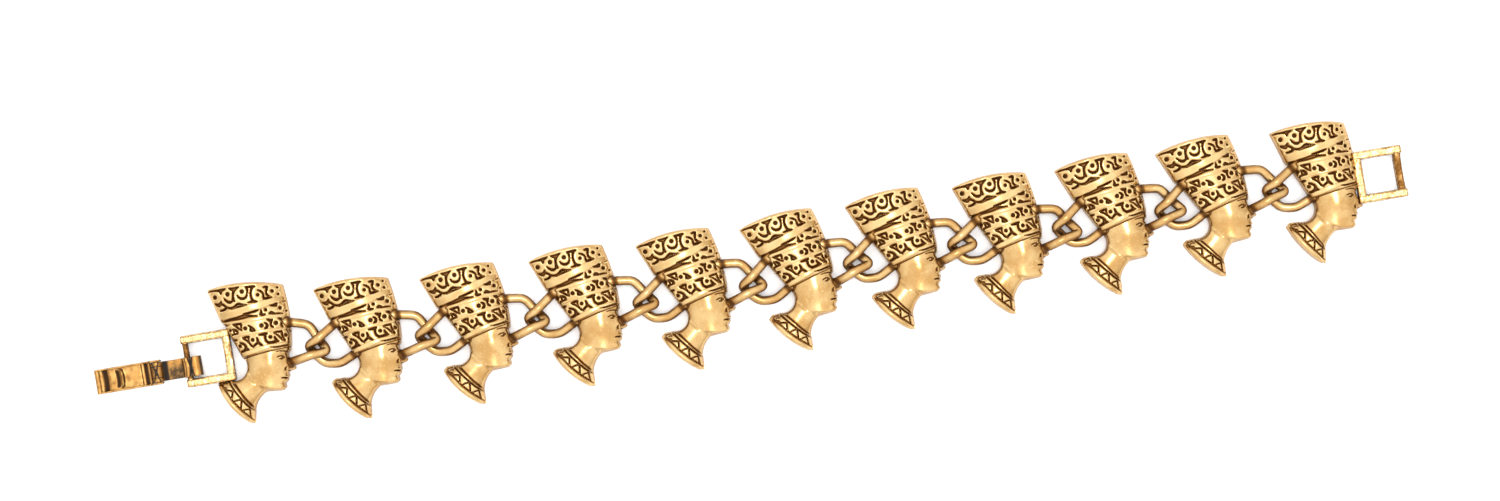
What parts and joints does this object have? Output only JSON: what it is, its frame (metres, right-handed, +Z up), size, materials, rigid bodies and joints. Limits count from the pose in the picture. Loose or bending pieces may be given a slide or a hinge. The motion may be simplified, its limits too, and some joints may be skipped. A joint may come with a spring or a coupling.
{
  "type": "link bracelet",
  "caption": "Open link bracelet of cast profile heads in tall patterned crowns, joined by interlocked wire loops, with a square frame at each end and a fold-over clasp.",
  "frame": {"origin": "under the middle of the laid-out bracelet's box, on the surface it lies on", "axes": "+X along the row of links from the clasp towards the catch frame, +Z up from the surface"},
  "size_m": [0.1894, 0.0232, 0.0034],
  "materials": {
    "antique_gold": "cast, polished on the high parts, antique gold plate with dark patina in the recesses",
    "clasp_gold": "rolled sheet, gold plate, worn",
    "clasp_tarnished": "rolled sheet, tarnished"
  },
  "bodies": {
    "bracelet": {"head_link_01": "antique_gold", "head_link_02": "antique_gold", "head_link_03": "antique_gold", "head_link_04": "antique_gold", "head_link_05": "antique_gold", "head_link_06": "antique_gold", "head_link_07": "antique_gold", "head_link_08": "antique_gold", "head_link_09": "antique_gold", "head_link_10": "antique_gold", "head_link_11": "antique_gold"},
    "clasp_base": {"clasp_base": "clasp_tarnished"},
    "clasp_cover": {"clasp_cover": "clasp_gold"}
  },
  "joints": [
    {"name": "clasp_swing", "type": "hinge", "parent": "bracelet", "child": "clasp_base", "pos_m": [-0.08112, 0.00091, 0.00095], "axis": [0, 1, 0], "range_deg": [0, 150]},
    {"name": "clasp_fold", "type": "hinge", "parent": "clasp_base", "child": "clasp_cover", "pos_m": [-0.08568, 0.00091, 0.00088], "axis": [0, 1, 0], "range_deg": [0, 170]}
  ]
}
